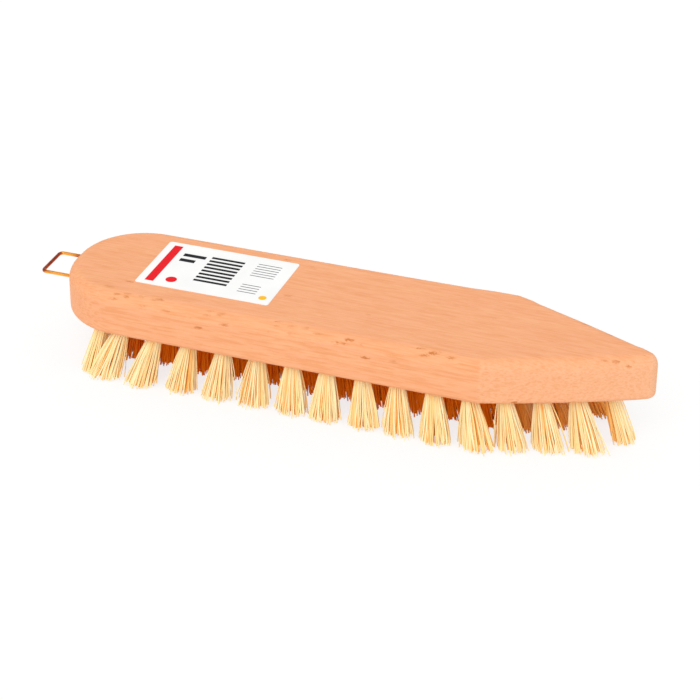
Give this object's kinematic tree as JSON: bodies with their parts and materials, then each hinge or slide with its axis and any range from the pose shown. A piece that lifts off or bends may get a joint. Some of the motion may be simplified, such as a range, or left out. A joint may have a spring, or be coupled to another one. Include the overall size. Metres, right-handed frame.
{
  "type": "scrub brush",
  "caption": "Pointed wooden scrub brush: a round-ended beech block tapering to a nose, fanned plant-fibre tufts in drilled holes, a wire hanging loop and a plain paper label",
  "frame": {"origin": "middle of the whole brush's bounding box in X and Y, on the plane of the bristle tips that it stands on", "axes": "+X along the brush from the round rear end with the hanging loop to the pointed nose; +Y across it, towards the side that the picture shows as the far one; +Z from the bristle tips up to the top of the block"},
  "size_m": [0.2314, 0.0606, 0.0357],
  "materials": {
    "block": "raw sanded",
    "bristle": "dry plant fibre",
    "wire": "drawn wire",
    "anchor": "flat wire",
    "label": "coated paper"
  },
  "bodies": {
    "root": {"block": "block", "hanging_loop": "wire", "label": "label", "anchors": "anchor", "tuft_01": "bristle", "tuft_02a": "bristle", "tuft_02b": "bristle", "tuft_03a": "bristle", "tuft_03b": "bristle", "tuft_03c": "bristle", "tuft_03d": "bristle", "tuft_04a": "bristle", "tuft_04b": "bristle", "tuft_04c": "bristle", "tuft_04d": "bristle", "tuft_05a": "bristle", "tuft_05b": "bristle", "tuft_05c": "bristle", "tuft_05d": "bristle", "tuft_06a": "bristle", "tuft_06b": "bristle", "tuft_06c": "bristle", "tuft_06d": "bristle", "tuft_07a": "bristle", "tuft_07b": "bristle", "tuft_07c": "bristle", "tuft_07d": "bristle", "tuft_08a": "bristle", "tuft_08b": "bristle", "tuft_08c": "bristle", "tuft_08d": "bristle", "tuft_09a": "bristle", "tuft_09b": "bristle", "tuft_09c": "bristle", "tuft_09d": "bristle", "tuft_10a": "bristle", "tuft_10b": "bristle", "tuft_10c": "bristle", "tuft_10d": "bristle", "tuft_11a": "bristle", "tuft_11b": "bristle", "tuft_11c": "bristle", "tuft_11d": "bristle", "tuft_12a": "bristle", "tuft_12b": "bristle", "tuft_12c": "bristle", "tuft_12d": "bristle", "tuft_13a": "bristle", "tuft_13b": "bristle", "tuft_13c": "bristle", "tuft_13d": "bristle", "tuft_14a": "bristle", "tuft_14b": "bristle", "tuft_14c": "bristle", "tuft_14d": "bristle", "tuft_15a": "bristle", "tuft_15b": "bristle", "tuft_15c": "bristle", "tuft_16ab": "bristle", "tuft_17": "bristle"}
  },
  "joints": []
}
